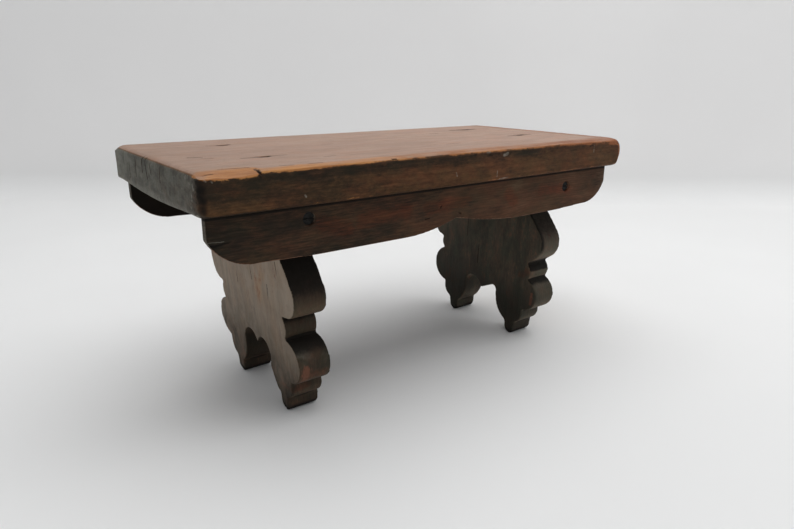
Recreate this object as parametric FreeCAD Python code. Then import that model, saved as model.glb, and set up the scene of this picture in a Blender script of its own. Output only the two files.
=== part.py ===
"""A small old footstool: a thick board on two scroll-sawn leg boards, with a thin apron at front and back.

Millimetres, +Z up, +X along the board. The origin is on the floor under the middle of the board.
The front is towards -Y. The two legs stand across the stool, one near each end.
"""
import FreeCAD, Part
import math
import os
from collections import namedtuple

# Whole stool
stool_height = 185.0

# Top board
board_length = 383.0
board_width = 177.0
board_thickness = 25.0
board_corner_radius = 5.0
board_arris_radius = 2.5
board_left_end_radius = 3.0
board_right_end_top_radius = 15.0
board_right_end_bottom_radius = 9.5

# Aprons, one at the front and one at the back. The ends are set in from the board's ends, and the cusp in the
# lower edge stands a little to the right of the middle.
apron_left_inset = 5.7
apron_right_inset = 11.0
apron_cusp_offset = 1.2
apron_height = 33.0
apron_thickness = 6.5
apron_setback = 7.9

# Leg boards. The inset is from the board's end to a leg's outer face, at the height of the board's top.
leg_thickness = 25.0
leg_inset = 54.7
left_leg_lean_degrees = 3.9
right_leg_lean_degrees = 0.0

# Cut nails through the top board into the legs
nail_length = 50.0
nail_head_length = 6.5
nail_head_width = 2.6
nail_head_thickness = 1.5
nail_shank_length = 4.4
nail_shank_width = 2.2
nail_tip_length = 1.6
nail_tip_width = 1.2
nail_sink = 1.2
nail_clearance = 0.08

# Each nail's place: how far in from the leg's outer face, as a share of its thickness, and along Y as a share of
# half the leg's width
NailPlace = namedtuple("NailPlace", "depth_share width_share")
left_nail_places = [NailPlace(0.312, -0.51), NailPlace(0.496, 0.575)]
right_nail_places = [NailPlace(0.332, -0.317), NailPlace(0.384, 0.632)]

# Countersunk wood screws through the aprons into the legs' edges
screw_length = 30.0
screw_head_radius = 4.0
screw_head_rim = 0.5
screw_cone_height = 2.0
screw_shank_radius = 2.0
screw_point_length = 5.0
screw_slot_width = 1.0
screw_slot_depth = 0.9
screw_sink = 1.6
screw_clearance = 0.1

# Each screw's place: the end of the stool, how far in from the leg's outer face, as a share of its thickness, and
# how far down the apron, as a share of its height
ScrewPlace = namedtuple("ScrewPlace", "end depth_share drop_share")
screw_places = [ScrewPlace(-1, 0.624, 0.273), ScrewPlace(1, 0.424, 0.418)]

# A cut runs past the face that it leaves by this much
cut_overrun = 1.0

# Apron outline to one side of the cusp, as shares of that reach and of the height below the board.
# It runs from the upper corner down the end, round the corner and along to the cusp.
apron_top_share = (1.0, 0.0)
apron_end_share = (1.0, 0.42)
apron_corner_middle_share = (0.955, 0.745)
apron_corner_foot_share = (0.84, 0.95)
apron_belly_outer_share = (0.62, 1.0)
apron_cusp_share = (0.0, 0.745)

# The rise from the belly to the cusp is shorter on the left than on the right
SawnReach = namedtuple("SawnReach", "belly_inner_share rise_share")
left_reach_sawn = SawnReach(belly_inner_share=(0.25, 1.0), rise_share=(0.11, 0.92))
right_reach_sawn = SawnReach(belly_inner_share=(0.42, 1.0), rise_share=(0.137, 0.886))

# Leg outline to one side of the middle, as shares of half the leg's width and of its height, from the top down
block_top_share = (1.0, 1.0)
block_corner_share = (1.0, 0.868)
cove_middle_share = (0.79, 0.857)
upper_lobe_middle_share = (0.962, 0.56)
lower_lobe_middle_share = (0.935, 0.287)
ankle_notch_share = (0.714, 0.178)
ankle_bead_share = (0.723, 0.134)
foot_notch_share = (0.615, 0.081)
foot_outer_share = (0.602, 0.03)
foot_outer_round_share = (0.586, 0.008)
foot_outer_sole_share = (0.55, 0.0)
foot_inner_sole_share = (0.5, 0.0)
foot_inner_round_share = (0.467, 0.007)
foot_inner_share = (0.45, 0.025)
instep_notch_share = (0.445, 0.072)

# The flank from the hidden neck down to the upper lobe differs from leg to leg. The foot of that lobe, the
# notches, the bead between them, the instep and the arch also differ from side to side, as sawn by hand.
SawnSide = namedtuple(
    "SawnSide", "lobe_foot_share notch_share bead_share lower_notch_share instep_share waist_share "
    "arch_side_share arch_corner_share arch_top_share arch_inner_share")
SawnLeg = namedtuple("SawnLeg", "neck_share flank_share lobe_share front back cusp_share")
left_sawn = SawnLeg(
    neck_share=(0.69, 0.812),
    flank_share=(0.823, 0.736),
    lobe_share=(0.934, 0.65),
    front=SawnSide(
        (0.8, 0.497), (0.68, 0.488), (0.737, 0.445), (0.69, 0.383), (0.351, 0.116), (0.286, 0.194),
        (0.312, 0.24), (0.27, 0.28), (0.183, 0.3), (0.089, 0.289)),
    back=SawnSide(
        (0.82, 0.477), (0.725, 0.476), (0.765, 0.43), (0.722, 0.38), (0.351, 0.116), (0.286, 0.194),
        (0.283, 0.245), (0.229, 0.285), (0.134, 0.303), (0.035, 0.291)),
    cusp_share=(-0.03, 0.254),
)
right_sawn = SawnLeg(
    neck_share=(0.62, 0.81),
    flank_share=(0.762, 0.741),
    lobe_share=(0.894, 0.665),
    front=SawnSide(
        (0.85, 0.487), (0.772, 0.46), (0.826, 0.42), (0.782, 0.366), (0.338, 0.112), (0.27, 0.19),
        (0.262, 0.225), (0.249, 0.256), (0.205, 0.264), (0.1, 0.243)),
    back=SawnSide(
        (0.87, 0.49), (0.773, 0.477), (0.797, 0.44), (0.749, 0.403), (0.351, 0.116), (0.286, 0.194),
        (0.287, 0.232), (0.262, 0.263), (0.19, 0.28), (0.08, 0.266)),
    cusp_share=(0.0, 0.221),
)

# Sizes that follow
board_underside = stool_height - board_thickness
board_half_length = board_length / 2
board_half_width = board_width / 2
apron_face = board_half_width - apron_setback
apron_left_reach = board_half_length + apron_cusp_offset - apron_left_inset
apron_right_reach = board_half_length - apron_cusp_offset - apron_right_inset
leg_half_width = apron_face - apron_thickness
leg_height = board_underside
leg_outer_face = board_half_length - leg_inset
left_leg_slope = math.tan(math.radians(left_leg_lean_degrees))
right_leg_slope = math.tan(math.radians(right_leg_lean_degrees))


class Outline:
    """Straight and round edges, one after another, from one point on."""

    def __init__(self, start):
        self.at = start
        self.edges = []

    def line(self, end):
        self.edges.append(Part.LineSegment(self.at, end).toShape())
        self.at = end

    def arc(self, middle, end):
        self.edges.append(Part.Arc(self.at, middle, end).toShape())
        self.at = end

    def face(self):
        return Part.Face(Part.Wire(self.edges))


def box(low, high):
    size = high - low
    return Part.makeBox(size.x, size.y, size.z, low)


def rounded_rectangle(u_low, u_high, v_low, v_high, radii, place):
    """A face with one radius for each corner: low-low, high-low, high-high, low-high."""
    corners = [(u_low, v_low, 1, 1), (u_high, v_low, -1, 1), (u_high, v_high, -1, -1), (u_low, v_high, 1, -1)]
    bend = 1 - math.sqrt(0.5)
    arcs = []
    for index, ((u, v, u_in, v_in), radius) in enumerate(zip(corners, radii)):
        beside = place(u + u_in * radius, v)
        above = place(u, v + v_in * radius)
        middle = place(u + u_in * radius * bend, v + v_in * radius * bend)
        arcs.append((above, middle, beside) if index % 2 == 0 else (beside, middle, above))
    outline = Outline(arcs[0][2])
    for start, middle, end in arcs[1:] + arcs[:1]:
        outline.line(start)
        outline.arc(middle, end)
    return outline.face()


def top_board():
    """The board, rounded alike along its edges and more at its worn right end."""
    side_profile = rounded_rectangle(
        -board_half_length, board_half_length, board_underside, stool_height,
        (board_left_end_radius, board_right_end_bottom_radius, board_right_end_top_radius, board_left_end_radius),
        lambda u, v: FreeCAD.Vector(u, -board_half_width, v))
    end_profile = rounded_rectangle(
        -board_half_width, board_half_width, board_underside, stool_height,
        (board_arris_radius,) * 4,
        lambda u, v: FreeCAD.Vector(-board_half_length, u, v))
    plan = rounded_rectangle(
        -board_half_length, board_half_length, -board_half_width, board_half_width,
        (board_corner_radius,) * 4,
        lambda u, v: FreeCAD.Vector(u, v, board_underside))
    board = side_profile.extrude(FreeCAD.Vector(0, board_width, 0))
    board = board.common(end_profile.extrude(FreeCAD.Vector(board_length, 0, 0)))
    board = board.common(plan.extrude(FreeCAD.Vector(0, 0, board_thickness)))
    return board.cut(Part.Compound(nail_cutters()))


def apron(side):
    """One apron. side is -1 at the front and 1 at the back."""

    def at(share, end):
        reach = apron_left_reach if end < 0 else apron_right_reach
        return FreeCAD.Vector(apron_cusp_offset + end * share[0] * reach, side * apron_face,
                              board_underside - share[1] * apron_height)

    outline = Outline(at(apron_top_share, -1))
    outline.line(at(apron_end_share, -1))
    outline.arc(at(apron_corner_middle_share, -1), at(apron_corner_foot_share, -1))
    outline.line(at(apron_belly_outer_share, -1))
    outline.line(at(left_reach_sawn.belly_inner_share, -1))
    outline.arc(at(left_reach_sawn.rise_share, -1), at(apron_cusp_share, -1))
    outline.arc(at(right_reach_sawn.rise_share, 1), at(right_reach_sawn.belly_inner_share, 1))
    outline.line(at(apron_belly_outer_share, 1))
    outline.line(at(apron_corner_foot_share, 1))
    outline.arc(at(apron_corner_middle_share, 1), at(apron_end_share, 1))
    outline.line(at(apron_top_share, 1))
    outline.line(at(apron_top_share, -1))
    board = outline.face().extrude(FreeCAD.Vector(0, -side * apron_thickness, 0))
    return board.cut(Part.Compound([screw_cutter(place, side) for place in screw_places]))


def leg(end, slope, sawn):
    """One leg board. end is -1 at the left and 1 at the right. slope is the inward run for each unit of drop."""

    def at(share, side):
        z = share[1] * leg_height
        outer_face = end * (leg_outer_face - slope * (stool_height - z))
        return FreeCAD.Vector(outer_face, side * share[0] * leg_half_width, z)

    cusp = at(sawn.cusp_share, 1)

    def edge(side, cut):
        outline = Outline(at(block_top_share, side))
        outline.line(at(block_corner_share, side))
        outline.arc(at(cove_middle_share, side), at(sawn.neck_share, side))
        outline.arc(at(sawn.flank_share, side), at(sawn.lobe_share, side))
        outline.arc(at(upper_lobe_middle_share, side), at(cut.lobe_foot_share, side))
        outline.line(at(cut.notch_share, side))
        outline.arc(at(cut.bead_share, side), at(cut.lower_notch_share, side))
        outline.arc(at(lower_lobe_middle_share, side), at(ankle_notch_share, side))
        outline.arc(at(ankle_bead_share, side), at(foot_notch_share, side))
        outline.line(at(foot_outer_share, side))
        outline.arc(at(foot_outer_round_share, side), at(foot_outer_sole_share, side))
        outline.line(at(foot_inner_sole_share, side))
        outline.arc(at(foot_inner_round_share, side), at(foot_inner_share, side))
        outline.line(at(instep_notch_share, side))
        outline.arc(at(cut.instep_share, side), at(cut.waist_share, side))
        outline.line(at(cut.arch_side_share, side))
        outline.arc(at(cut.arch_corner_share, side), at(cut.arch_top_share, side))
        outline.arc(at(cut.arch_inner_share, side), cusp)
        return outline.edges

    top_edge = Part.LineSegment(at(block_top_share, -1), at(block_top_share, 1)).toShape()
    loop = [top_edge] + edge(-1, sawn.front) + edge(1, sawn.back)
    face = Part.Face(Part.Wire(Part.__sortEdges__(loop)))
    board = face.extrude(FreeCAD.Vector(-end * leg_thickness, 0, 0))
    cutters = nail_cutters() + [screw_cutter(place, side) for place in screw_places for side in (-1, 1)]
    return board.cut(Part.Compound(cutters))


def slab(x, y, z, length, width):
    """A level rectangle, as the wire of one section of a nail."""
    corners = [(-1, -1), (1, -1), (1, 1), (-1, 1), (-1, -1)]
    return Part.makePolygon([FreeCAD.Vector(x + u * length / 2, y + v * width / 2, z) for u, v in corners])


def nail_points(end, places):
    """Where one leg's nails stand on the board: the X and Y of each."""
    return [(end * (leg_outer_face - place.depth_share * leg_thickness), place.width_share * leg_half_width)
            for place in places]


def nail_shape(x, y, gap, head_rise):
    """A cut nail, its sides moved out by gap and its head raised by head_rise."""
    head_top = stool_height - nail_sink
    shank_top = head_top - nail_head_thickness
    tip = head_top - nail_length
    head = Part.Face(slab(x, y, shank_top - gap, nail_head_length + 2 * gap, nail_head_width + 2 * gap))
    head = head.extrude(FreeCAD.Vector(0, 0, nail_head_thickness + gap + head_rise))
    shank = Part.makeLoft([
        slab(x, y, shank_top, nail_shank_length + 2 * gap, nail_shank_width + 2 * gap),
        slab(x, y, tip - gap, nail_tip_length + 2 * gap, nail_tip_width + 2 * gap)], True, True)
    return head.fuse(shank).removeSplitter()


def nail_cutters():
    points = nail_points(-1, left_nail_places) + nail_points(1, right_nail_places)
    return [nail_shape(x, y, nail_clearance, nail_sink + cut_overrun) for x, y in points]


def nails(end, places):
    return Part.Compound([nail_shape(x, y, 0.0, 0.0) for x, y in nail_points(end, places)])


def screw_profile(gap, head_rise):
    """Half of a countersunk screw, standing on its point along +Z with its head's top at zero."""
    cone_foot = -screw_head_rim - screw_cone_height
    points = [
        (0.0, head_rise),
        (screw_head_radius + gap, head_rise),
        (screw_head_radius + gap, -screw_head_rim - gap),
        (screw_shank_radius + gap, cone_foot - gap),
        (screw_shank_radius + gap, screw_point_length - screw_length),
        (0.0, -screw_length - gap),
        (0.0, head_rise),
    ]
    wire = Part.makePolygon([FreeCAD.Vector(r, 0, z) for r, z in points])
    return Part.Face(wire).revolve(FreeCAD.Vector(0, 0, 0), FreeCAD.Vector(0, 0, 1), 360)


def set_in_apron(shape, place, side):
    """Lays a screw that stands on its point into its place in one apron."""
    shape.rotate(FreeCAD.Vector(0, 0, 0), FreeCAD.Vector(1, 0, 0), -side * 90)
    x = place.end * (leg_outer_face - place.depth_share * leg_thickness)
    z = board_underside - place.drop_share * apron_height
    shape.translate(FreeCAD.Vector(x, side * (apron_face - screw_sink), z))
    return shape


def screw_cutter(place, side):
    return set_in_apron(screw_profile(screw_clearance, screw_sink + cut_overrun), place, side)


def screw(place, side):
    slot_reach = screw_head_radius + cut_overrun
    slot = box(FreeCAD.Vector(-slot_reach, -screw_slot_width / 2, -screw_slot_depth),
               FreeCAD.Vector(slot_reach, screw_slot_width / 2, cut_overrun))
    return set_in_apron(screw_profile(0.0, 0.0).cut(slot), place, side)


def screws(side):
    return Part.Compound([screw(place, side) for place in screw_places])


parts = {
    "top_board": top_board(),
    "front_apron": apron(-1),
    "back_apron": apron(1),
    "left_leg": leg(-1, left_leg_slope, left_sawn),
    "right_leg": leg(1, right_leg_slope, right_sawn),
    "top_nails_left": nails(-1, left_nail_places),
    "top_nails_right": nails(1, right_nail_places),
    "front_apron_screws": screws(-1),
    "back_apron_screws": screws(1),
}

os.makedirs("parts", exist_ok=True)
for node, shape in parts.items():
    shape.exportStep(f"parts/{node}.step")
    bounds = shape.BoundBox
    print(node, len(shape.Solids), "solids, valid", shape.isValid(), "volume", round(shape.Volume),
          "x", round(bounds.XMin, 1), round(bounds.XMax, 1), "y", round(bounds.YMin, 1), round(bounds.YMax, 1),
          "z", round(bounds.ZMin, 1), round(bounds.ZMax, 1))
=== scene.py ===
"""A small old wooden footstool on pale paper: worn board, sawn legs, thin aprons, sunk nails and screws."""
import math
from collections import namedtuple

import bmesh
import bpy
import numpy as np
from mathutils import Matrix, Vector


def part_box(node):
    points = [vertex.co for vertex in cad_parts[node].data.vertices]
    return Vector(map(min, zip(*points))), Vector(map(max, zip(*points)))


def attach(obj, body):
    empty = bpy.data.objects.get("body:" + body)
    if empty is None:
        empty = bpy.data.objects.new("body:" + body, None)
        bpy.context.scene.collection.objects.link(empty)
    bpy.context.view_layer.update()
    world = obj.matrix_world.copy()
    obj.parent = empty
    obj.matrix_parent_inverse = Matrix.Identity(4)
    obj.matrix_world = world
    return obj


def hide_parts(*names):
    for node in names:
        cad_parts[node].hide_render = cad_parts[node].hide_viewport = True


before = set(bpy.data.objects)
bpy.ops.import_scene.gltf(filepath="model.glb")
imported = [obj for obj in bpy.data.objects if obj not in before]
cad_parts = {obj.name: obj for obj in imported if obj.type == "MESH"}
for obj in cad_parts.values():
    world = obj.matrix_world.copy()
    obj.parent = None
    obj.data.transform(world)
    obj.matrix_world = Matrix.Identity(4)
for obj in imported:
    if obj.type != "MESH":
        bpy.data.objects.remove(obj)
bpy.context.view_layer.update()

MM = 0.001
TINY = 1e-9
WELD_DISTANCE = 1e-6

# In a round of smoothing, how much of a point goes to the mean of its neighbours and how much stays
NEIGHBOUR_SHARE = 0.7
OWN_SHARE = 0.3


# Repeatable noise for shaping the meshes
def cell_value(cell, seed):
    """One number from -1 to 1 for each whole-numbered cell."""
    mask = np.uint64(0xFFFFFFFF)
    i, j, k = (cell[:, axis].astype(np.int64).astype(np.uint64) & mask for axis in range(3))
    h = (i * np.uint64(374761393) + j * np.uint64(668265263) + k * np.uint64(2246822519)
         + np.uint64(seed * 3266489917 + 1013904223)) & mask
    h = ((h ^ (h >> np.uint64(15))) * np.uint64(2246822519)) & mask
    h = ((h ^ (h >> np.uint64(13))) * np.uint64(3266489917)) & mask
    h = h ^ (h >> np.uint64(16))
    return h.astype(float) / 2147483647.5 - 1.0


def noise(points, size, seed, octaves=1):
    """Smooth noise, about -1 to 1. size is the length of its waves along each axis, in millimetres."""
    total = np.zeros(len(points))
    strength, reach = 1.0, 0.0
    q = points / (np.array(size, float) * MM)
    for octave in range(octaves):
        base = np.floor(q)
        f = q - base
        f = f * f * (3 - 2 * f)
        value = np.zeros(len(points))
        for corner in range(8):
            step = np.array([corner & 1, corner >> 1 & 1, corner >> 2 & 1])
            weight = np.prod(np.where(step, f, 1 - f), axis=1)
            value += weight * cell_value(base + step, seed + 17 * octave)
        total += strength * value
        reach += strength
        strength *= 0.5
        q = q * 2.03
    return total / reach


def ramp(value, low, high):
    """A smooth step from 0 at low to 1 at high. low may be the larger."""
    t = np.clip((value - low) / (high - low), 0, 1)
    return t * t * (3 - 2 * t)


class Surface:
    """The points of an even mesh, with what is needed to wear them down."""

    def __init__(self, mesh):
        self.mesh = mesh
        count = len(mesh.vertices)
        points = np.zeros(count * 3, np.float32)
        mesh.vertices.foreach_get("co", points)
        self.points = points.reshape(-1, 3).astype(float)
        edges = np.zeros(len(mesh.edges) * 2, np.int32)
        mesh.edges.foreach_get("vertices", edges)
        edges = edges.reshape(-1, 2)
        self.a, self.b = edges[:, 0], edges[:, 1]
        self.count = count
        edge_ends = np.bincount(self.a, minlength=count) + np.bincount(self.b, minlength=count)
        self.valence = np.maximum(edge_ends, 1)
        self.low, self.high = self.points.min(0), self.points.max(0)

    def spread(self, places, rounds):
        """Places averaged over their neighbours, again and again."""
        for _ in range(rounds):
            around = [
                np.bincount(self.a, weights=c[self.b], minlength=self.count)
                + np.bincount(self.b, weights=c[self.a], minlength=self.count)
                for c in places.T]
            means = np.stack([total / self.valence for total in around], axis=1)
            places = means * NEIGHBOUR_SHARE + places * OWN_SHARE
        return places

    def depth_in(self, normals, rounds):
        """How far each point lies in a hollow, in millimetres."""
        around = self.spread(self.points, rounds)
        return np.einsum("ij,ij->i", around - self.points, normals) / MM

    def normals(self):
        self.write()
        normals = np.zeros(self.count * 3, np.float32)
        self.mesh.vertex_normals.foreach_get("vector", normals)
        return normals.reshape(-1, 3).astype(float)

    def write(self):
        self.mesh.vertices.foreach_set("co", self.points.astype(np.float32).ravel())
        self.mesh.update()

    def mask(self, name, values):
        layer = self.mesh.attributes.get(name) or self.mesh.attributes.new(name, "FLOAT", "POINT")
        layer.data.foreach_set("value", np.clip(values, 0, 1).astype(np.float32))

    def even_masks(self, **levels):
        for name, level in levels.items():
            self.mask(name, np.full(self.count, level))


def add_object(name, data):
    added = bpy.data.objects.new(name, data)
    bpy.context.scene.collection.objects.link(added)
    return added


def even_copy(node, name, voxel_mm):
    """A new object with a closed, even mesh in the place of a CAD node."""
    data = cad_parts[node].data.copy()
    data.materials.clear()
    welded = bmesh.new()
    welded.from_mesh(data)
    bmesh.ops.remove_doubles(welded, verts=welded.verts, dist=WELD_DISTANCE)
    welded.to_mesh(data)
    welded.free()
    rough = add_object(name, data)
    remesh = rough.modifiers.new("even", "REMESH")
    remesh.mode = "VOXEL"
    remesh.voxel_size = voxel_mm * MM
    depsgraph = bpy.context.evaluated_depsgraph_get()
    mesh = bpy.data.meshes.new_from_object(rough.evaluated_get(depsgraph))
    rough.modifiers.clear()
    rough.data = mesh
    bpy.data.meshes.remove(data)
    for polygon in mesh.polygons:
        polygon.use_smooth = True
    return rough


# How far an arris stands out where it counts as sharp, how long its more worn stretches are, and how far
# they go from the light wear to the heavy wear
SHARP_DEPTH = 1.2
WORN_STRETCH = (26, 26, 26)
WORN_SHARE = 0.8


def wear_edges(surface, softening, heavy, seed, voxel_mm):
    """Rounds every arris a little and some stretches of it more.

    Returns how sharp each point was, how deep it lay in a hollow, and its normal before the wear.
    """
    points = surface.points
    normals = surface.normals()
    near = surface.spread(points, int(softening / voxel_mm ** 2) + 2)
    far = surface.spread(near, int(heavy / voxel_mm ** 2) + 2)
    outward = np.einsum("ij,ij->i", points - far, normals)
    sharp = np.clip(outward / (SHARP_DEPTH * MM), 0, 1)
    hollow = np.clip(-outward / (SHARP_DEPTH * MM), 0, 1)
    patches = ramp(noise(points, WORN_STRETCH, seed, 3), -0.1, 0.6)
    surface.points = near + (far - near) * (sharp * patches)[:, None] * WORN_SHARE
    return sharp, hollow, normals


def undulate(surface, normals, depth_mm, size, seed):
    """Presses shallow waves into the surface, never outward."""
    wave = (noise(surface.points, size, seed, 3) + 1) / 2
    surface.points -= normals * (wave * depth_mm * MM)[:, None]


def round_left_arris(surface, back, radius_mm):
    """Rounds the upright arris at the board's left end, the back one or the front one, to this radius."""
    radius = radius_mm * MM
    side = np.array([-1, 1 if back else -1])
    corner = np.where(side > 0, surface.high[:2], surface.low[:2])
    past = np.clip(surface.points[:, :2] * side - (corner * side - radius), 0, None)
    length = np.maximum(np.hypot(*past.T), TINY)
    excess = past * np.clip(1 - radius / length, 0, None)[:, None]
    surface.points[:, :2] -= excess * side


def into_corner(from_one, from_other, size_mm):
    """How far points lie into the corner of two faces, from 0 past this size to 1 on either face."""
    size = size_mm * MM
    return np.hypot(np.clip(size - from_one, 0, None), np.clip(size - from_other, 0, None)) / size


def keep_inside(surface):
    surface.points = np.clip(surface.points, surface.low, surface.high)


# A mark's distance across its own face counts by the first share only. Its core is as wide as the second.
MARK_ACROSS = 0.15
MARK_CORE = 0.25


# Node materials
class Tree:
    """A material's nodes, with short calls for what the wood needs."""

    def __init__(self, name):
        self.material = bpy.data.materials.new(name)
        self.material.use_nodes = True
        self.nodes = self.material.node_tree.nodes
        self.links = self.material.node_tree.links
        self.shader = self.nodes["Principled BSDF"]
        self.place = self.nodes.new("ShaderNodeTexCoord").outputs["Object"]

    def put(self, socket, value):
        if isinstance(value, bpy.types.NodeSocket):
            self.links.new(value, socket)
        elif socket.type == "RGBA" and len(value) == 3:
            socket.default_value = (*value, 1.0)
        else:
            socket.default_value = value

    def set(self, name, value):
        self.put(self.shader.inputs[name], value)

    def math(self, operation, a, b=0.0, c=0.0, clamp=False):
        node = self.nodes.new("ShaderNodeMath")
        node.operation = operation
        node.use_clamp = clamp
        for socket, value in zip(node.inputs, (a, b, c)):
            self.put(socket, value)
        return node.outputs[0]

    def times(self, a, b):
        return self.math("MULTIPLY", a, b)

    def multiply_add(self, a, b, c, clamp=False):
        return self.math("MULTIPLY_ADD", a, b, c, clamp)

    def step(self, value, low, high):
        """0 below low, 1 above high and smooth between. low may be the larger."""
        node = self.nodes.new("ShaderNodeMapRange")
        node.interpolation_type = "SMOOTHSTEP"
        for name, setting in (("Value", value), ("From Min", low), ("From Max", high)):
            self.put(node.inputs[name], setting)
        return node.outputs["Result"]

    def mix(self, share, a, b, blend="MIX"):
        node = self.nodes.new("ShaderNodeMix")
        node.data_type = "RGBA"
        node.blend_type = blend
        for socket, value in ((node.inputs[0], share), (node.inputs[6], a), (node.inputs[7], b)):
            self.put(socket, value)
        return node.outputs[2]

    def tinted(self, colour, tint):
        return self.mix(1.0, colour, tint, "MULTIPLY")

    def cover(self, under, over, value, low, high, share):
        """over laid on under as value rises from low to high, by this share at most."""
        return self.mix(self.times(self.step(value, low, high), share), under, over)

    def swing(self, value, size):
        """A texture's value, which runs around a half, as one of this size around zero."""
        return self.times(self.math("SUBTRACT", value, 0.5), size)

    def attribute(self, name):
        node = self.nodes.new("ShaderNodeAttribute")
        node.attribute_name = name
        return node.outputs["Fac"]

    def noise(self, waves, detail=3.0, roughness=0.5, distortion=0.0, vector=None, output=0):
        """Noise in waves of these millimetres along each axis. Output 1 is a vector of three noises."""
        node = self.nodes.new("ShaderNodeTexNoise")
        scale = [1 / (wave * MM) for wave in waves]
        self.put(node.inputs["Vector"], self.vector("MULTIPLY", vector or self.place, scale))
        settings = {"Scale": 1.0, "Detail": detail, "Roughness": roughness, "Distortion": distortion}
        for name, setting in settings.items():
            node.inputs[name].default_value = setting
        return node.outputs[output]

    def split(self, vector):
        node = self.nodes.new("ShaderNodeSeparateXYZ")
        self.put(node.inputs[0], vector)
        return node.outputs

    def turned(self, order):
        """The coordinates with their axes in another order, so that the grain runs along the first."""
        axes = self.split(self.place)
        join = self.nodes.new("ShaderNodeCombineXYZ")
        for axis, source in enumerate(order):
            self.links.new(axes["XYZ".index(source)], join.inputs[axis])
        return join.outputs[0]

    def marks(self, place, marks):
        """How near place is to the nearest of some short lines, from 0 to 1 on the line."""
        nearest = 0.0
        for mark in marks:
            start, end = Vector(mark.start) * MM, Vector(mark.end) * MM
            run = end - start
            weights = [MARK_ACROSS if axis == mark.across else 1.0 for axis in range(3)]
            offset = self.vector("MULTIPLY", self.vector("SUBTRACT", place, start), weights)
            travel = self.vector("DOT_PRODUCT", offset, run)
            share = self.math("DIVIDE", travel, run.length_squared, clamp=True)
            gap = self.vector("DISTANCE", offset, self.vector("SCALE", run, scale=share))
            close = self.step(gap, mark.width * MM, mark.width * MM * MARK_CORE)
            nearest = self.math("MAXIMUM", nearest, close)
        return nearest

    def vector(self, operation, a, b=None, c=None, scale=None):
        node = self.nodes.new("ShaderNodeVectorMath")
        node.operation = operation
        for name, setting in ((0, a), (1, b), (2, c), ("Scale", scale)):
            if setting is not None:
                self.put(node.inputs[name], setting)
        return node.outputs["Value" if operation in ("DOT_PRODUCT", "DISTANCE") else "Vector"]

    def bump(self, height, distance_mm, strength=1.0, under=None):
        node = self.nodes.new("ShaderNodeBump")
        node.inputs["Distance"].default_value = distance_mm * MM
        node.inputs["Strength"].default_value = strength
        self.put(node.inputs["Height"], height)
        if under is not None:
            self.put(node.inputs["Normal"], under)
        return node.outputs[0]


Tones = namedtuple("Tones", "bare bare_dark stain stain_dark rust weathered polished")
Mark = namedtuple("Mark", "start end width across")
Textures = namedtuple(
    "Textures", "figure fibres pores coarse mottle blotch scuffs speckle patchy streaky uneven calm")

# Colours that all the wood shares
# Near-black laid both for real dirt and as painted shade under the board and apron, in notches and in the chip
GRIME_AND_SHADE = (0.0065, 0.0055, 0.0045)
SCRATCH = (0.022, 0.013, 0.009)
# Pale dust; on one leg's lower lobe it also stands for a painted highlight
DUST_AND_SHEEN = (0.34, 0.33, 0.28)
PALE_SPECK = (0.34, 0.32, 0.27)
RUBBED_PATCH = (0.168, 0.068, 0.041)
RED_TINT = (1.16, 0.78, 0.68)
ROSY_TINT = (0.66, 0.54, 0.66)

# The tints of the polished top: the texture, where it starts and ends, how strong it is, and the tint
TOP_TINTS = [
    ("mottle", 0.42, 0.66, 0.65, (0.99, 0.8, 0.69)), ("blotch", 0.46, 0.64, 0.6, (0.78, 0.76, 0.76)),
    ("figure", 0.42, 0.64, 0.5, (0.7, 0.66, 0.62)), ("speckle", 0.54, 0.74, 0.52, (0.6, 0.54, 0.5)),
]
TOP_COARSE_TINT = (0.91, 0.87, 0.86)
TOP_WARM_TINT = (0.72, 0.705, 0.665)

# How far the growth rings sway, and the size of the ragged outlines of marks, both in millimetres
RING_SWAY = 16
RAGGED_WAVE = 1.5


def shade(colour, share):
    return [share * c for c in colour]


def darker_or_lighter(tree, colour, value, low, high, depth):
    """colour lowered by the share depth where value is low, and raised as much where it is high."""
    down, up = [1 - depth] * 3, [1 + depth] * 3
    return tree.mix(tree.step(value, low, high), tree.tinted(colour, down), tree.tinted(colour, up))


def growth_rings(tree, along, heart, ring_mm):
    """Rings around a heart that lies off the board, from 0 to 1, swaying a little."""
    sway = tree.noise((160, 38, 38), detail=2.0, vector=along)
    axes = tree.split(along)
    across = tree.math("SUBTRACT", axes[1], heart[0] * MM)
    depth = tree.math("SUBTRACT", axes[2], heart[1] * MM)
    squares = tree.multiply_add(across, across, tree.times(depth, depth))
    radius = tree.math("ADD", tree.math("SQRT", squares), tree.times(sway, RING_SWAY * MM))
    turns = tree.math("FRACT", tree.math("DIVIDE", radius, ring_mm * MM))
    return tree.times(tree.step(turns, 0.0, 0.8), tree.step(turns, 1.0, 0.88))


def wood_textures(tree, order, heart, ring_mm, flecks, grain):
    """The patterns that the colours of the wood share, with the grain along the first axis of order."""
    along = tree.turned(order)
    rings = growth_rings(tree, along, heart, ring_mm)
    fibres = tree.noise((42, 1.1, 1.1), detail=4.0, roughness=0.62, vector=along)
    pores = tree.step(tree.noise((9, 0.55, 0.55), detail=2.0, vector=along), 0.62, 0.74)
    coarse = tree.noise((80, 30, 30), detail=4.0, roughness=0.6, vector=along)
    mottle = tree.noise((22, 11, 11), detail=6.0, roughness=0.68, distortion=0.3, vector=along)
    blotch = tree.noise((24, 14, 14), detail=5.0, roughness=0.7, vector=along)
    scuffs = tree.noise((7, 1.0, 1.0), detail=6.0, roughness=0.7, distortion=0.2, vector=along)
    speckle = tree.noise(flecks, detail=5.0, roughness=0.75, vector=along)
    figure = tree.multiply_add(rings, 0.16, tree.times(fibres, 0.84))
    patchy = tree.swing(mottle, 2.0)
    streaky = tree.swing(scuffs, 1.4)
    streaks = tree.math("ADD", streaky, tree.swing(speckle, 1.8))
    uneven = tree.math("ADD", patchy, streaks)
    calm = tree.multiply_add(streaks, grain, patchy)
    return Textures(
        figure, fibres, pores, coarse, mottle, blotch, scuffs, speckle, patchy, streaky, uneven, calm)


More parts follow.
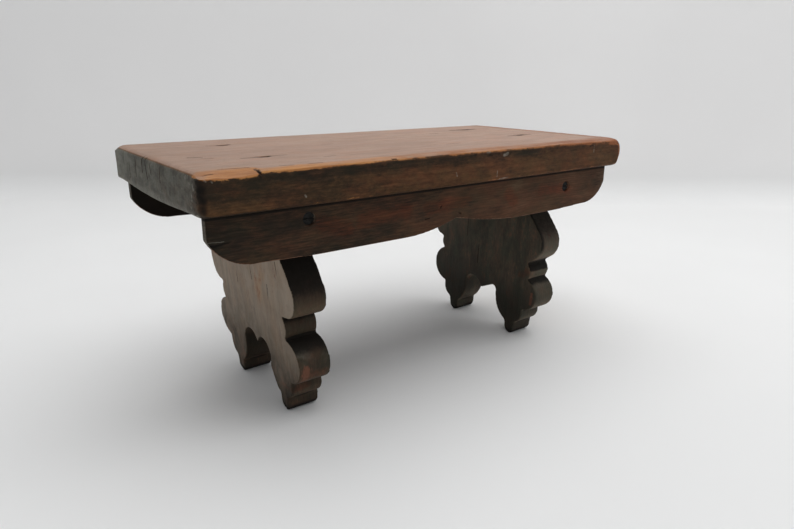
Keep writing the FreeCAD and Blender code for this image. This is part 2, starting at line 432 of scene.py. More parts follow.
def bare_wood(tree, look, tones):
    """Bare wood, with its rings, fibres and pores."""
    wood = tree.mix(tree.step(look.figure, 0.3, 0.7), tones.bare, tones.bare_dark)
    wood = tree.cover(wood, shade(tones.bare_dark, 0.6), look.speckle, 0.5, 0.8, 0.3)
    wood = tree.mix(tree.times(look.pores, 0.4), wood, shade(tones.bare_dark, 0.4))
    return tree.mix(tree.attribute("rosy"), wood, tree.tinted(wood, ROSY_TINT))


def stained_wood(tree, look, tones, grain):
    """Stain, from nearly black to brown and rusty as the warmth rises, now greener and now redder."""
    warmth = tree.multiply_add(look.calm, 0.55, tree.attribute("warm"))
    stain = tree.mix(tree.step(warmth, -0.15, 0.75), tones.stain_dark, tones.stain)
    stain = tree.cover(stain, tones.rust, warmth, 0.6, 1.1, 0.8)
    greener, redder = tree.tinted(stain, (0.92, 1.02, 0.98)), tree.tinted(stain, (1.09, 0.96, 0.93))
    stain = tree.mix(tree.step(look.blotch, 0.36, 0.64), greener, redder)
    stain = darker_or_lighter(tree, stain, look.figure, 0.64, 0.36, 0.15 * grain)
    stain = darker_or_lighter(tree, stain, look.speckle, 0.32, 0.68, 0.16 * grain)
    return tree.mix(tree.times(look.pores, 0.5 * grain), stain, shade(tones.stain_dark, 0.4))


def polished_wood(tree, look, tones):
    """The rubbed and polished top, mottled along its grain."""
    duller = tree.tinted(tones.polished, TOP_COARSE_TINT)
    top = tree.mix(tree.step(look.coarse, 0.38, 0.66), tones.polished, duller)
    for name, low, high, share, tint in TOP_TINTS:
        top = tree.cover(top, tree.tinted(tones.polished, tint), getattr(look, name), low, high, share)
    top = tree.mix(tree.attribute("warm"), top, tree.tinted(top, TOP_WARM_TINT))
    return tree.mix(tree.times(look.pores, 0.3), top, shade(tones.polished, 0.35))


def weathered_wood(tree, look, tones, waves, grain, depth):
    """Weathered faces and end grain, with fine checks."""
    weather = tree.noise(waves, detail=5.0, roughness=0.65, distortion=0.5)
    check_waves = [wave * size for wave, size in zip(waves, (1.0, 0.45, 1.5))]
    checks = tree.noise(check_waves, detail=3.0, distortion=0.4)
    grey = darker_or_lighter(tree, tones.weathered, weather, 0.62, 0.38, depth)
    grey = tree.cover(grey, tree.tinted(grey, (0.95, 0.85, 0.76)), look.blotch, 0.42, 0.66, 0.6)
    grey = darker_or_lighter(tree, grey, look.speckle, 0.7, 0.3, 0.15 * grain)
    blush = tree.multiply_add(look.patchy, 0.5, tree.attribute("warm"))
    grey = tree.cover(grey, tree.tinted(grey, (1.06, 0.84, 0.66)), blush, 0.55, 0.95, 0.8)
    grey = tree.cover(grey, shade(tones.weathered, 0.4), look.speckle, 0.58, 0.78, 0.45 * grain)
    return tree.cover(grey, shade(tones.weathered, 0.3), checks, 0.63, 0.72, 0.5 * grain)


def rubbed_through(tree, look, wear, polish_edge):
    """Where edges are rubbed to bare wood: crisp on stained wood, and soft beside the polished top."""
    rub = tree.multiply_add(tree.attribute("sharp"), wear, tree.times(look.uneven, 0.45))
    placed = tree.multiply_add(look.uneven, 0.6, tree.attribute("bare"))
    crisp = tree.math("MAXIMUM", tree.step(rub, 0.36, 0.66), tree.step(placed, 0.38, 0.62))
    soft = tree.step(tree.multiply_add(look.uneven, 0.3, tree.attribute("bare")), 0.1, 0.95)
    return tree.multiply_add(tree.math("SUBTRACT", soft, crisp), polish_edge, crisp)


def lay_marks(tree, colour, look, drawn):
    """Red stains, rubbed patches and pale specks by place, as far as this piece has them."""
    if "red" in drawn:
        red = tree.step(tree.multiply_add(look.uneven, 0.9, drawn["red"]), 0.1, 1.3)
        colour = tree.mix(red, colour, tree.tinted(colour, RED_TINT))
    if "rubbed" in drawn:
        rubbed = tree.multiply_add(look.uneven, 1.1, drawn["rubbed"])
        colour = tree.cover(colour, RUBBED_PATCH, rubbed, 0.15, 0.9, 0.75)
    if "pale" in drawn:
        pale = tree.times(drawn["pale"], tree.step(look.speckle, 0.36, 0.55))
        colour = tree.mix(tree.times(pale, 0.42), colour, PALE_SPECK)
    return colour


def old_wood(name, order, heart, ring_mm, tones, flecks, weather_waves, marks, wear=0.42, grain=0.8,
             weather_depth=0.2):
    """Stained wood that has worn back to bare wood along its edges.

    The mesh's masks say where it is bare, rosy, polished, weathered, warm, dusty, and grimy or darkened as
    painted shade, and the nodes break them up; the dust also stands partly for a painted highlight on one leg's
    lobe.
    flecks and weather_waves are the wave lengths of the mottling on stained and on weathered wood. marks holds
    scratches, pale specks, rubbed patches and red stains by kind. grain is how strongly the streaks along the
    wood show, and weather_depth how much the weathered wood varies.
    """
    tree = Tree(name)
    look = wood_textures(tree, order, heart, ring_mm, flecks, grain)
    polish = tree.multiply_add(look.streaky, 0.4, tree.attribute("polished"))
    polish_edge = tree.step(polish, 0.35, 0.75)
    colour = tree.mix(polish_edge, stained_wood(tree, look, tones, grain), polished_wood(tree, look, tones))
    weathered = tree.step(tree.multiply_add(look.calm, 0.25, tree.attribute("weathered")), 0.1, 0.8)
    grey = weathered_wood(tree, look, tones, weather_waves, grain, weather_depth)
    colour = tree.mix(weathered, colour, grey)
    colour = tree.mix(rubbed_through(tree, look, wear, polish_edge), colour, bare_wood(tree, look, tones))

    # Marks with ragged outlines, then dust (partly a painted highlight), grime and painted shade, and dark
    # scratches
    centred = tree.vector("SUBTRACT", tree.place, [MM / 2] * 3)
    jitter = tree.noise([RAGGED_WAVE] * 3, detail=2.0, output=1)
    ragged = tree.vector("MULTIPLY_ADD", jitter, [MM] * 3, centred)
    drawn = {kind: tree.marks(ragged, places) for kind, places in marks.items()}
    colour = lay_marks(tree, colour, look, drawn)
    dust = tree.times(tree.attribute("dust"), tree.step(look.speckle, 0.2, 0.75))
    colour = tree.mix(dust, colour, DUST_AND_SHEEN)
    grime_and_shade = tree.step(tree.multiply_add(look.uneven, 0.3, tree.attribute("grime_and_shade")), 0.1, 0.85)
    colour = tree.mix(tree.times(grime_and_shade, 0.93), colour, GRIME_AND_SHADE)
    colour = tree.mix(tree.times(drawn["dark"], 0.9), colour, SCRATCH)
    tree.set("Base Color", colour)

    # Polished wood is smoother and shinier, grime and painted shade are rougher and scratches hardly shine
    rough = tree.multiply_add(polish_edge, -0.2, 0.68)
    rough = tree.multiply_add(tree.math("SUBTRACT", look.fibres, 0.5), 0.3, rough)
    tree.set("Roughness", tree.multiply_add(grime_and_shade, 0.14, rough, clamp=True))
    shine = tree.multiply_add(polish_edge, 0.1, 0.14)
    unscratched = tree.multiply_add(drawn["dark"], -0.9, 1.0)
    tree.set("Specular IOR Level", tree.times(shine, unscratched))

    # Relief of the mottling, the fibres, the pores and the scratches
    relief = tree.bump(look.mottle, 0.5, 0.45)
    relief = tree.bump(look.figure, 0.16, 0.6, relief)
    relief = tree.bump(tree.multiply_add(look.pores, -0.8, look.scuffs), 0.14, 0.7, relief)
    relief = tree.bump(tree.math("SUBTRACT", 1.0, drawn["dark"]), 0.5, 0.9, relief)
    tree.set("Normal", relief)
    return tree.material


def old_iron(name, clean, rust, rough):
    """Dull iron with rust and dirt in patches."""
    tree = Tree(name)
    patches = tree.noise((2.4, 2.4, 2.4), detail=4.0, roughness=0.65)
    pits = tree.noise((0.5, 0.5, 0.5), roughness=0.6)
    colour = tree.mix(tree.step(patches, 0.4, 0.62), clean, rust)
    tree.set("Base Color", tree.cover(colour, shade(rust, 0.4), pits, 0.5, 0.7, 0.5))
    tree.set("Roughness", tree.multiply_add(patches, 0.3, rough))
    tree.set("Metallic", 0.2)
    tree.set("Specular IOR Level", 0.25)
    tree.set("Normal", tree.bump(pits, 0.12, 0.8))
    return tree.material


def level_at(value, places):
    """Straight lines between the given pairs of a list, each a value and the level there."""
    return np.interp(value, *zip(*places))


def spots(surface, seed, size, low, high):
    """Scattered patches, 0 to 1."""
    return ramp(noise(surface.points, size, seed, 3), low, high)


# The board
BOARD_VOXEL = 0.9
(BOARD_LEFT, BOARD_FRONT, _), (_, _, BOARD_TOP) = [[c / MM for c in corner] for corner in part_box("top_board")]

# How far back the rubbed front top arris reaches and how deep it drops, by place along the board. Its flat
# part ends at a chip.
CHIP_END = -154.5
BEVEL_REACH = [(-192, 9), (-188, 12), (-170, 13), (-158, 11), (CHIP_END, 9), (CHIP_END + 0.6, 5),
               (-145, 4.5), (-128, 6.5), (-110, 4.5), (-68, 8), (-32, 9.5), (3, 8.5), (47, 9.5), (91, 8.5),
               (133, 8), (170, 12), (192, 17)]
BEVEL_DROP = [(-192, 1.4), (-187, 2.2), (-176, 3.0), (-164, 2.7), (-158, 2.3), (CHIP_END, 2.0),
              (CHIP_END + 0.6, 1.6), (-128, 1.7), (-107, 1.3), (-60, 1.2), (35, 1.4), (80, 1.6), (130, 1.9),
              (159, 2.5), (172, 2.5), (180, 1.7), (192, 1.0)]

# The right end: the radius of its crown, the power of the crown's curve, which is 2 for a circle, the radius
# of its front arris, and how far and over what height its lower part leans in
RIGHT_END_RADIUS = 15
CROWN_POWER = 2.8
CROWN_ARRIS = 5.0
LOWER_LEAN = 3.6
LEAN_HEIGHT = 10

# The left end: the radii of its upright arrises, how wide and deep its corners and the board's front feet
# are rubbed, how wide and deep its underside is cupped, and the relief of its end grain
FRONT_ARRIS_RADIUS = 4
BACK_ARRIS_RADIUS = 5
Rub = namedtuple("Rub", "width depth")
BACK_CORNER = Rub(11, 3.6)
FRONT_CORNER = Rub(13, 1.2)
FRONT_FOOT = Rub(8, 3.0)
CUP = Rub(76, 2.3)
END_RELIEF = 0.22

# How strong the masks are by place along the board, except where a name says otherwise
BAND_STRENGTH = [(-192, 0.5), (-184, 0.66), (-172, 0.85), (CHIP_END - 1, 0.98), (CHIP_END, 0.8), (-128, 0.84),
                 (-100, 0.7), (-40, 0.64), (60, 0.66), (120, 0.66), (192, 0.8)]
ROSY = [(-190, 0.0), (-120, 0.1), (-20, 0.4), (120, 0.9), (190, 1.0)]
BOARD_WARMTH = [(-191, 0.05), (-165, 0.1), (-130, 0.22), (-90, 0.36), (-20, 0.46), (60, 0.48), (130, 0.56),
                (190, 0.3)]
TOP_MELLOW = [(-190, 1.0), (-150, 0.8), (-100, 0.6), (-40, 0.6), (60, 0.4), (150, 0.2), (190, 0.45)]
GREY_ACROSS_END = [(-88, 0.15), (-84, 0.35), (-72, 0.5), (-45, 0.56), (-30, 0.5), (0, 0.57), (30, 0.56),
                   (50, 0.6), (70, 0.75), (88, 0.95)]
DUST_ACROSS_END = [(-88, 0.02), (-50, 0.05), (20, 0.08), (60, 0.14), (88, 0.4)]
CROWN_BARE_BY_DEPTH = [(0, 1.05), (9, 0.9), (16, 0.66), (25, 0.66)]
CORNER_WRAP_BY_DEPTH = [(0, 5.5), (25, 2.5)]


def marks_on(across, face, lines):
    """Marks on the flat face across an axis. A line has the places of its ends and a width."""
    marks = []
    for *ends, width in lines:
        start, end = ends[:2], ends[2:]
        start.insert(across, face)
        end.insert(across, face)
        marks.append(Mark(start, end, width, across))
    return marks


NAIL_SLOTS = [
    (-145, -38.6, -113, -37.2, 1.0), (-133.5, -38, -125, -37.6, 2.9), (-137, 43.4, -119, 42.4, 0.9),
    (-128, 42.8, -121, 42.5, 3.4), (113, -24, 143, -23, 1.5), (124, -23.7, 133, -23.3, 4.8),
    (108, 47.6, 139, 46.2, 2.4), (121, 46.9, 132, 46.6, 6.0)]
TOP_SCRATCHES = [
    (-171, -17, -163, -20, 1.0), (-166, -26.5, -159, -29, 0.7), (-60, 8, -51, 7, 0.7),
    (20, -46, 35, -45, 0.7), (66, 30, 77, 31, 0.7), (-98, -60, -88, -58, 0.6),
    (-174, -75.5, -157, -77.5, 0.8), (-186, -83.5, -180, -83, 0.5), (-140, -81, -131, -82, 0.6),
    (-122, -83, -112, -82.4, 0.6)]
END_CHECKS = [
    (12.8, 184, 13.8, 174, 1.0), (6.1, 183.5, 3.7, 171, 1.1), (29.2, 180, 30.8, 169, 0.8),
    (-4.2, 181, -5.5, 175, 0.7), (-24.9, 181, -23.5, 172, 0.6), (46, 177, 47, 166, 0.6)]
FRONT_SCRATCHES = [(-155.4, 183.2, -154.6, 182, 0.9), (-63.5, 183.6, -60, 183.4, 0.7)]
END_SPECKS = [
    (-71, 181.8, -71.2, 180.6, 1.1), (-74, 182.4, -74.3, 181.2, 0.8), (-79, 174, -79.4, 170.5, 1.5),
    (-76.5, 166, -76.8, 165, 1.1), (-84, 162, -80, 161, 1.3), (-82, 178.5, -82.5, 176.5, 1.4),
    (-77, 179, -77.3, 178.4, 0.8)]
FRONT_SPECKS = [
    (-127.7, 167.2, -127, 166.5, 0.8), (22, 182.3, 25, 182.6, 1.0), (39.5, 179.3, 43.5, 180.2, 1.5),
    (33.2, 168, 33, 164, 0.6), (36, 161.6, 45, 162, 1.0), (149.4, 180, 149.8, 174, 0.6),
    (-50, 184, -44, 184.5, 0.8), (-8, 170, -7, 168, 0.8), (-186.5, 181.5, -186, 181, 0.8),
    (-183, 180.6, -182.6, 180, 0.6)]
BOARD_MARKS = {
    "dark": marks_on(2, BOARD_TOP, NAIL_SLOTS + TOP_SCRATCHES) + marks_on(0, BOARD_LEFT, END_CHECKS)
    + marks_on(1, BOARD_FRONT, FRONT_SCRATCHES),
    "pale": marks_on(0, BOARD_LEFT, END_SPECKS) + marks_on(1, BOARD_FRONT, FRONT_SPECKS),
}


# Where the board's points lie: places, distances from the faces and from the crown's curve, the reach and
# drop of the rubbed arris there, and some unevenness
Spot = namedtuple("Spot", "x y z left front top crown inside reach drop jitter")
Facing = namedtuple("Facing", "front left right top under")


def shape_right_end(surface):
    """Makes the right end fuller than a quarter circle, leaning in below, with a rounded front arris.

    Returns how far each point lies inside the end's curve.
    """
    low, high = surface.low, surface.high
    x, y, z = surface.points.T  # These are views, so changing them moves the points
    radius = RIGHT_END_RADIUS * MM
    over_end = np.clip(x - (high[0] - radius), 0, radius)
    above = np.clip(z - (high[2] - radius), 0, radius)
    turn = np.maximum(np.hypot(over_end, above), TINY)
    squareness = (over_end / turn) ** CROWN_POWER + (above / turn) ** CROWN_POWER
    fuller = np.maximum(squareness, 0.1) ** (-1 / CROWN_POWER)
    lean = LOWER_LEAN * MM * np.clip((high[2] - radius - z) / (LEAN_HEIGHT * MM), 0, 1)
    in_crown = (over_end > 0) & (above > 0)
    inside = np.where(in_crown, (radius - turn) * fuller, np.minimum(high[2] - z, high[0] - x))
    x += over_end * (fuller - 1) * (above > 0) - lean * ramp(x / MM, 176, 190)
    z += above * (fuller - 1) * (over_end > 0)
    arris = CROWN_ARRIS * MM * ramp(x / MM, 164, 182)
    past_end = np.clip(arris - inside, 0, None)
    past_front = np.clip(arris - (y - low[1]), 0, None)
    excess = np.clip(1 - arris / np.maximum(np.hypot(past_end, past_front), TINY), 0, None)
    x -= excess * past_end * over_end / turn
    y += excess * past_front
    z -= excess * past_end * above / turn
    return inside


def find_spots(surface, inside):
    low, high = surface.low, surface.high
    x, y, z = surface.points.T
    from_top = high[2] - z
    jitter = noise(surface.points, (9, 5, 5), 11, 3)
    radius = RIGHT_END_RADIUS * MM
    over_end = np.clip(x - (high[0] - radius), 0, radius)
    crown = from_top - radius + (radius ** CROWN_POWER - over_end ** CROWN_POWER) ** (1 / CROWN_POWER)
    reach = level_at(x / MM, BEVEL_REACH) * MM * (1 + 0.15 * jitter)
    drop = level_at(x / MM, BEVEL_DROP) * MM * (1 + 0.2 * jitter)
    return Spot(x, y, z, x - low[0], y - low[1], from_top, crown, inside, reach, drop, jitter)


def rub_front_arris(surface, at):
    """Rubs the front top arris to a slope, flatter and wider up to a chipped step near the left end."""
    inward = np.clip(1 - at.front / at.reach, 0, 1)
    flat_part = ramp(at.x / MM, CHIP_END + 1, CHIP_END - 1)
    slope = flat_part * inward ** 1.3 + (1 - flat_part) * (1 - np.sqrt(1 - inward ** 2))
    surface.points[:, 2] -= np.maximum(at.drop * slope - np.clip(at.crown, 0, None), 0)


def rub_corners(surface, at):
    """Rubs the left end's top corners and the feet of both front corners, and cups the left end."""
    low, high = surface.low, surface.high
    back = into_corner(at.left, high[1] - at.y, BACK_CORNER.width)
    surface.points[:, 2] -= np.maximum(BACK_CORNER.depth * MM * ramp(back, 0.6, 1.35) - at.top, 0)
    front = into_corner(at.left, at.front, FRONT_CORNER.width)
    surface.points[:, 2] -= FRONT_CORNER.depth * MM * ramp(front, 0.45, 1.3) * ramp(at.top / MM, 12, 2)
    for from_end in (at.left, high[0] - at.x):
        foot = into_corner(from_end, at.front, FRONT_FOOT.width)
        lifted = FRONT_FOOT.depth * MM * ramp(foot, 0.5, 1.35)
        surface.points[:, 2] += np.maximum(lifted - (at.z - low[2]), 0)
    middle = np.clip(1 - (at.y / (CUP.width * MM)) ** 2, 0, 1)
    bulge = CUP.depth * MM * middle ** 1.5 * ramp(at.x / MM, -142, -182)
    surface.points[:, 2] -= bulge * np.clip(at.top / (high[2] - low[2]), 0, 1) ** 2


def bare_places(surface, at, facing):
    """How bare the band along the front top arris is, and how bare the board is in all."""
    x_mm, z_mm, depth = at.x / MM, at.z / MM, at.top / MM
    strength = level_at(x_mm, BAND_STRENGTH) + 0.32 * noise(surface.points, (10, 5, 4), 21, 3)
    band = ramp(at.front / at.reach, 1.7, 0.6) * ramp(at.crown / at.drop, 2.3, 0.5) * strength
    left_end = ramp(at.left / MM, 5, 1.5) * ramp(depth, 1.8, 0.4) * 0.12 * ramp(at.y / MM, 60, 30)
    right_end = level_at(depth, CROWN_BARE_BY_DEPTH) * ramp(x_mm, 162, 180)
    right_end *= ramp(at.inside / MM, 7.5, 3.2) * np.maximum(ramp(depth, 15, 8), ramp(at.front / MM, 12, 5))
    lower_left = ramp(z_mm, 168, 163) * ramp(x_mm, -140, -166) * ramp(x_mm, -191, -187) * 0.3
    # Bare wood along the front's lower arris, partly wear and partly a painted highlight
    lower_arris_wear_and_highlight = ramp(z_mm, 163.2, 161.6) * (0.4 + 0.3 * noise(surface.points, (40, 9, 9), 22, 2))
    specks = ramp(x_mm, -179, -187) * ramp(z_mm, 175, 180) * spots(surface, 23, (3, 3, 3), 0.1, 0.5) * 0.7
    on_front = np.max([lower_left, lower_arris_wear_and_highlight, specks], axis=0) * facing.front
    return band, np.max([band, left_end, right_end, on_front], axis=0)


def warm_places(surface, at, facing, band):
    """How brown and rusty the stain is, and how mellow the top."""
    x_mm, z_mm = at.x / MM, at.z / MM
    strip = ramp(at.top / MM, 13, 3) * 0.42 * ramp(x_mm, 180, 130)
    warm = level_at(x_mm, BOARD_WARMTH) - strip + 0.22 * noise(surface.points, (36, 14, 14), 24, 3)
    warm += 0.3 * spots(surface, 25, (24, 10, 8), 0.2, 0.6) * ramp(z_mm, 182, 174)
    warm += 0.45 * ramp(z_mm, 170, 163) * ramp(x_mm, -132, -165) * facing.front
    warm += 0.5 * ramp(band, 0.08, 0.38) * facing.front
    mellow = level_at(x_mm, TOP_MELLOW) + 0.25 * noise(surface.points, (60, 22, 22), 26, 3)
    return np.where(at.top < 1.2 * MM, mellow * facing.top + warm * (1 - facing.top), warm)


def grime_and_shade_places(surface, at, facing, hollow):
    """Dirt in the nails' pits, dirt and painted shade in the chip's step, dirt around the front left corner and
    below the bare band.
    """
    depth = at.top / MM
    ragged = at.x / MM + 1.6 * noise(surface.points, (2.5, 2.5, 1.5), 41, 2)
    # The chip's step is darkened as painted shade, with some dirt
    chip = ramp(np.abs(ragged - CHIP_END + 0.6), 1.3, 0.4) * ramp(at.front / MM, 8, 5) * ramp(depth, 6, 3)
    wrap = level_at(depth, CORNER_WRAP_BY_DEPTH) * (1 + 0.5 * at.jitter)
    corner = ramp(at.front / MM, wrap, wrap - 2) * ramp(at.left / MM, 8, 3) * ramp(depth, 1, 3)
    corner *= 0.6 + 0.4 * noise(surface.points, (4, 4, 3), 28, 2)
    below_band = ramp(at.crown / at.drop, 0.8, 1.6) * ramp(at.crown / MM, 9, 5) * facing.front
    specks = below_band * spots(surface, 27, (5, 3, 2.5), 0.05, 0.55) * 0.6
    return np.max([hollow * facing.top, facing.under * 0.3, chip * 0.85, corner, specks], axis=0)


def mask_board(surface, at, normals, sharp, hollow):
    facing = Facing(
        front=ramp(-normals[:, 1], 0.5, 0.85), left=ramp(-normals[:, 0], 0.2, 0.75),
        right=ramp(normals[:, 0], 0.35, 0.75), top=ramp(normals[:, 2], 0.6, 0.9),
        under=ramp(-normals[:, 2], 0.6, 0.9))
    y_mm = at.y / MM
    band, bare = bare_places(surface, at, facing)
    surface.mask("polished", facing.top * 0.95 * ramp(at.left / MM, 0.3, 3.6))
    surface.mask("rosy", level_at(at.x / MM, ROSY))
    right_grey = 0.5 * facing.right * ramp(at.front / MM, 3, 12)
    surface.mask("weathered", np.maximum(facing.left * level_at(y_mm, GREY_ACROSS_END), right_grey))
    surface.mask("bare", bare)
    worn_end = (0.5 + 0.5 * ramp(at.left / MM, 1, 5)) * (1 - facing.left * 0.8)
    surface.mask("sharp", sharp * worn_end * (1 - facing.under) * (1 - 0.5 * ramp(at.top / MM, 10, 16)))
    lower_edge = ramp(at.z / MM, 165, 161.5)
    surface.mask("dust", facing.left * (level_at(y_mm, DUST_ACROSS_END) + 0.38 * lower_edge))
    surface.mask("warm", warm_places(surface, at, facing, band))
    surface.mask("grime_and_shade", grime_and_shade_places(surface, at, facing, hollow))


def dress_board():
    piece = even_copy("top_board", "worn_board", BOARD_VOXEL)
    surface = Surface(piece.data)
    low, high = surface.low, surface.high
    sharp, hollow, normals = wear_edges(surface, 0.6, 6, 3, BOARD_VOXEL)
    round_left_arris(surface, False, FRONT_ARRIS_RADIUS)
    round_left_arris(surface, True, BACK_ARRIS_RADIUS)
    at = find_spots(surface, shape_right_end(surface))
    rub_front_arris(surface, at)
    rub_corners(surface, at)
    undulate(surface, normals, 0.3, (60, 30, 30), 5)
    undulate(surface, normals, 0.15, (12, 4, 4), 6)
    end_relief = ramp(-normals[:, 0], 0.6, 0.9) * (noise(surface.points, (9, 2.6, 9), 8, 2) + 1)
    surface.points[:, 0] += END_RELIEF * MM * end_relief
    surface.points = np.clip(surface.points, (low[0], low[1], low[2] - CUP.depth * MM), high)
    mask_board(surface, at, normals, sharp, hollow)
    surface.write()
    tones = Tones(
        bare=(0.485, 0.225, 0.074), bare_dark=(0.31, 0.125, 0.04), stain=(0.099, 0.0435, 0.0178),
        stain_dark=(0.0215, 0.0142, 0.008), rust=(0.156, 0.062, 0.025), weathered=(0.118, 0.117, 0.098),
        polished=(0.452, 0.296, 0.221))
    piece.data.materials.append(old_wood(
        "board wood", "XYZ", (20, -230), 3.4, tones, (4.4, 3.6, 1.8), (6, 12, 6), BOARD_MARKS, wear=0.5,
        grain=0.75, weather_depth=0.28))
    return piece


# The aprons
APRON_VOXEL = 0.7
SPLIT = [(-187, 143.6), (-181, 143.0), (-172, 144.2)]
SPLIT_DEPTH = 1.1
APRON_WARMTH = [(-186, 0.0), (-165, 0.06), (-120, 0.2), (-60, 0.36), (0, 0.46), (60, 0.56), (120, 0.66),
                (160, 0.5), (186, 0.26)]
APRON_LINES = {
    "red": [(56, 147, 62, 141, 9), (94, 146, 128, 145, 8), (-112, 147, -94, 141, 9), (-82, 144, -46, 146, 9),
            (-26, 146, 12, 147, 8)],
    "pale": [(-186, 145.7, -176, 145, 0.3)],
    "dark": [(-15, 145, -14, 146, 0.9), (-29, 138, -25, 138.5, 0.6), (3, 139, 5, 138, 0.8)],
}


def dress_apron(node, name, side, seed):
    piece = even_copy(node, name, APRON_VOXEL)
    surface = Surface(piece.data)
    low, high = surface.low, surface.high
    sharp, hollow, normals = wear_edges(surface, 0.3, 2, seed, APRON_VOXEL)
    undulate(surface, normals, 0.2, (50, 20, 12), seed + 1)
    undulate(surface, normals, 0.1, (16, 3, 3), seed + 2)
    x, y, z = surface.points.T
    outer = ramp(normals[:, 1] * side, 0.6, 0.9)
    inner = ramp(-normals[:, 1] * side, 0.6, 0.9)

    # A short split runs in from the left end
    off_split = np.abs(z - level_at(x / MM, SPLIT) * MM) / MM
    opening = ramp(x / MM, -171, -184)
    split = ramp(off_split, 0.5 + 0.8 * opening, 0.1) * ramp(x / MM, -171, -174) * outer
    y -= side * SPLIT_DEPTH * MM * split * (0.4 + 0.6 * opening)
    keep_inside(surface)

    lower = ramp(-normals[:, 2], 0.1, 0.6) * ramp(z / MM, 143, 140)
    surface.even_masks(rosy=0.4, dust=0.0, polished=0.0)
    greyed_face = 0.2 * ramp(x / MM, 145, 180) * outer
    surface.mask("weathered", np.maximum(0.42 * ramp(-normals[:, 0], 0.5, 0.85), greyed_face))
    corner = ramp(x / MM, -166, -176) * ramp(z / MM, 141, 134) * 0.4
    foot_line = sharp * ramp(z / MM, 140, 132) * 0.75
    surface.mask("bare", np.max([lower * 0.7, lower * corner * 2, foot_line], axis=0))
    surface.mask("sharp", sharp * (0.5 + 0.5 * lower) * ramp(z / MM, 143, 139))
    warm = level_at(x / MM, APRON_WARMTH) + 0.42 * noise(surface.points, (32, 12, 8), seed + 3, 3)
    surface.mask("warm", warm - 0.8 * inner)
    # Painted shadow: a thin near-black strip along the apron's top, just under the board's overhang
    overhang_shade_line = ramp(z / MM, 157.0, 158.4) * 0.9
    surface.mask("grime_and_shade", np.max([overhang_shade_line, hollow * outer, split * 1.2, inner * 0.6], axis=0))
    surface.write()
    face = (low[1] if side < 0 else high[1]) / MM
    marks = {kind: marks_on(1, face, lines) for kind, lines in APRON_LINES.items()}
    tones = Tones(
        bare=(0.3, 0.17, 0.1), bare_dark=(0.16, 0.085, 0.05), stain=(0.0755, 0.0368, 0.0184),
        stain_dark=(0.0165, 0.012, 0.0074), rust=(0.108, 0.06, 0.034), weathered=(0.17, 0.15, 0.12),
        polished=(0.3, 0.2, 0.15))
    piece.data.materials.append(old_wood(
        name + " wood", "XYZ", (10, -60), 2.0, tones, (12, 1.2, 1.2), (6, 6, 2), marks))
    return piece


# The legs
LEG_VOXEL = 0.9

# The soles: how high their rounding starts, and how far it goes in along X and Y
SOLE_HEIGHT = 6
SOLE_ROUND_X = 1.4
SOLE_ROUND_Y = 2.0

# seed for its noise, outward the way its outer face looks along X, dirt how black its sawn edges are by
# height, as dirt and as painted shade under the apron and in the notches, back_shift how much higher that sits
# at the back, grey how weathered its outer face is by height, and then under_grey how much its downward edges
# are lightened and greyed as painted light bounced up from the floor, creased how dark its sawn edges are
# beside the inner face high up, arched how dirty its arch is, and dusted how much pale dust lies on its
# lower lobes, partly as a painted highlight
LegLook = namedtuple(
    "LegLook", "seed outward dirt back_shift grey tones marks under_grey creased arched dusted")


def leg_grime_and_shade(surface, look, y, z_mm, from_inner, sawn, notch):
    """Dirt on the sole, dirt and painted shade in the notches and on the sawn edges by height, darkening beside
    the inner arris, and dirt in the arch.
    """
    seed = look.seed
    y_mm = np.abs(y) / MM
    sole = ramp(z_mm + 1.5 * noise(surface.points, (6, 6, 6), seed + 4, 2), 7, 2)
    level = z_mm - look.back_shift * (y > 0) + 0.7 * noise(surface.points, (7, 4, 4), seed + 6, 2)
    dirt = level_at(level, look.dirt) * sawn * ramp(y_mm, 34, 40)
    # Darker on the sawn edges beside the inner face, high up
    crease = ramp(from_inner, 8, 1) * sawn * ramp(z_mm, 78, 92) * look.creased
    arch = ramp(y_mm, 36, 28) * ramp(z_mm, 60, 50) * sawn * look.arched
    return np.max([notch, dirt, crease, sole * 0.9, arch], axis=0)


